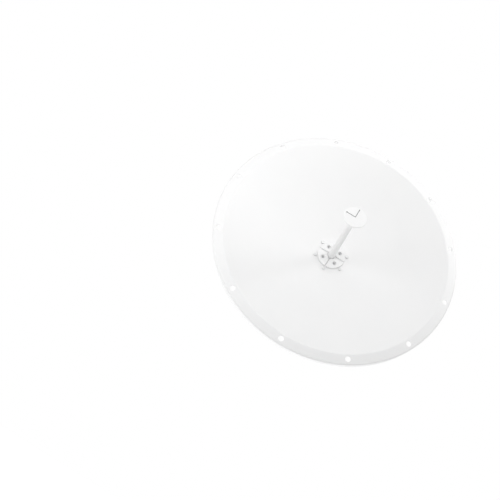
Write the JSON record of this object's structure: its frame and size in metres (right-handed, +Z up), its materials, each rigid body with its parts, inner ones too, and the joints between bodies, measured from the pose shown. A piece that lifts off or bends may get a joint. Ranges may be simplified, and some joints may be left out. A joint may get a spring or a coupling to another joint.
{
  "type": "microwave dish antenna",
  "caption": "Front-fed parabolic dish antenna with a flat drilled rim, a central feed tube and disc, a hub plate, a tilting yoke and pole clamps.",
  "frame": {"origin": "centre of the pole bracket's flat back face, where the pole touches it", "axes": "+Y from the dish towards the pole, -Y the way the dish looks, +Z up, +X to the right as seen from the front"},
  "size_m": [1.046, 0.601, 1.046],
  "materials": {
    "white_paint": "smooth white powder coat, satin",
    "white_plastic": "moulded white plastic, semi-gloss",
    "zinc_steel": "bright zinc",
    "galvanised_steel": "hot-dip galvanised, faint spangle",
    "cast_alloy": "cast and machined",
    "black_print": "black printed lines",
    "nickel": "nickel plated"
  },
  "bodies": {
    "root": {"clamp_bolt_1": "zinc_steel", "clamp_bolt_2": "zinc_steel", "clamp_bolt_3": "zinc_steel", "clamp_bolt_4": "zinc_steel", "clamp_jaw_lower": "galvanised_steel", "clamp_jaw_upper": "galvanised_steel", "clamp_nut_1": "zinc_steel", "clamp_nut_2": "zinc_steel", "clamp_nut_3": "zinc_steel", "clamp_nut_4": "zinc_steel", "connector_left": "nickel", "connector_right": "nickel", "direction_lines": "black_print", "feed_cone": "white_plastic", "feed_foot": "white_plastic", "feed_housing": "cast_alloy", "feed_screw_1": "zinc_steel", "feed_screw_2": "zinc_steel", "feed_screw_3": "zinc_steel", "feed_screw_4": "zinc_steel", "feed_tube": "white_plastic", "hub_bolt_1": "zinc_steel", "hub_bolt_2": "zinc_steel", "hub_bolt_3": "zinc_steel", "hub_bolt_4": "zinc_steel", "hub_bolt_5": "zinc_steel", "hub_bolt_6": "zinc_steel", "hub_nut_1": "zinc_steel", "hub_nut_2": "zinc_steel", "hub_nut_3": "zinc_steel", "hub_nut_4": "zinc_steel", "hub_nut_5": "zinc_steel", "hub_nut_6": "zinc_steel", "hub_plate": "galvanised_steel", "lock_bolt_left": "zinc_steel", "lock_bolt_right": "zinc_steel", "lock_nut_left": "zinc_steel", "lock_nut_right": "zinc_steel", "pivot_bolt": "zinc_steel", "pivot_nut": "zinc_steel", "pole_bracket": "galvanised_steel", "reflector": "white_paint", "sub_reflector": "white_plastic", "yoke_left": "galvanised_steel", "yoke_right": "galvanised_steel"}
  },
  "joints": []
}
